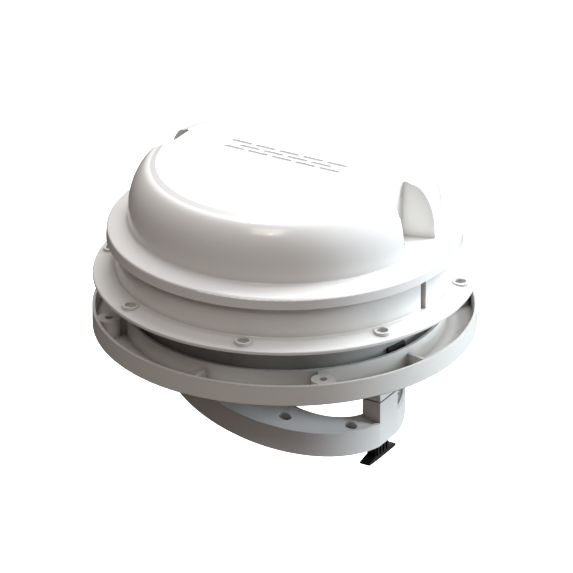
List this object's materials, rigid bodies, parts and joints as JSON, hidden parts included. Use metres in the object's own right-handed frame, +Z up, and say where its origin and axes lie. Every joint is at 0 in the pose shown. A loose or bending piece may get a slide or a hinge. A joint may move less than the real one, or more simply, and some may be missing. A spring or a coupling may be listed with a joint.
{
  "type": "roof vent cover",
  "caption": "Low round caravan roof vent: domed lid over a screwed flange, fan duct, ceiling ring and a sloped hinged frame with a quarter-turn latch.",
  "frame": {"origin": "centre of the flange underside, on the roof surface", "axes": "+Z up out of the roof, +X towards the latch of the sloped frame, +Y to the left when looking along +X"},
  "size_m": [0.2212, 0.2212, 0.17],
  "materials": {
    "shell_white": "glossy off-white moulded plastic",
    "motif_grey": "grey sunk motif",
    "screw_dark": "blackened steel",
    "base_white": "glossy off-white moulded plastic",
    "gasket_rubber": "closed-cell black rubber",
    "duct_grey": "satin dark grey plastic",
    "grommet_rubber": "soft black rubber",
    "ceiling_white": "semi-gloss off-white plastic",
    "ring_white": "semi-gloss off-white plastic",
    "guard_black": "satin black plastic",
    "post_white": "semi-gloss off-white plastic",
    "pin_steel": "ground steel",
    "bracket_black": "satin black plastic",
    "motor_steel": "drawn steel can",
    "endcap_black": "satin black plastic with terminals",
    "screw_steel": "zinc-plated steel",
    "impeller_black": "satin black plastic",
    "nut_brass": "plain brass",
    "frame_white": "semi-gloss off-white plastic",
    "cover_white": "semi-gloss off-white plastic",
    "switch_black": "satin black plastic",
    "rocker_black": "glossy black plastic",
    "knob_black": "satin black plastic"
  },
  "bodies": {
    "vent_body": {"dome_cover": "shell_white", "dome_motif": "motif_grey", "dome_screws": "screw_dark", "base_flange": "base_white", "flange_gasket": "gasket_rubber", "duct_sleeve": "duct_grey", "wire_grommet": "grommet_rubber", "ceiling_ring": "ceiling_white", "lower_ring": "ring_white", "finger_guard": "guard_black", "latch_post": "post_white", "hinge_bracket": "ring_white", "hinge_pin": "pin_steel", "motor_bracket": "bracket_black", "motor_can": "motor_steel", "motor_endcap": "endcap_black", "motor_screws": "screw_steel"},
    "impeller": {"fan_impeller": "impeller_black", "motor_shaft": "pin_steel", "hub_nut": "nut_brass"},
    "frame": {"swing_frame": "frame_white", "frame_cover": "cover_white", "cover_screws": "screw_steel", "switch_body": "switch_black"},
    "rocker": {"switch_rocker": "rocker_black"},
    "knob": {"turn_knob": "knob_black", "latch_stem": "knob_black"}
  },
  "joints": [
    {"name": "impeller_spin", "type": "hinge", "parent": "vent_body", "child": "impeller", "pos_m": [0, 0, 0.013], "axis": [0, 0, 1], "continuous": true},
    {"name": "frame_swing", "type": "hinge", "parent": "vent_body", "child": "frame", "pos_m": [-0.068, 0, -0.038], "axis": [0, 1, 0], "range_deg": [0, 75]},
    {"name": "rocker_tilt", "type": "hinge", "parent": "frame", "child": "rocker", "pos_m": [-0.04, 0, -0.05838], "axis": [0, 1, 0], "range_deg": [-8, 8]},
    {"name": "knob_turn", "type": "hinge", "parent": "frame", "child": "knob", "pos_m": [0.062, 0, -0.09], "axis": [0, 0, 1], "range_deg": [0, 90]}
  ]
}
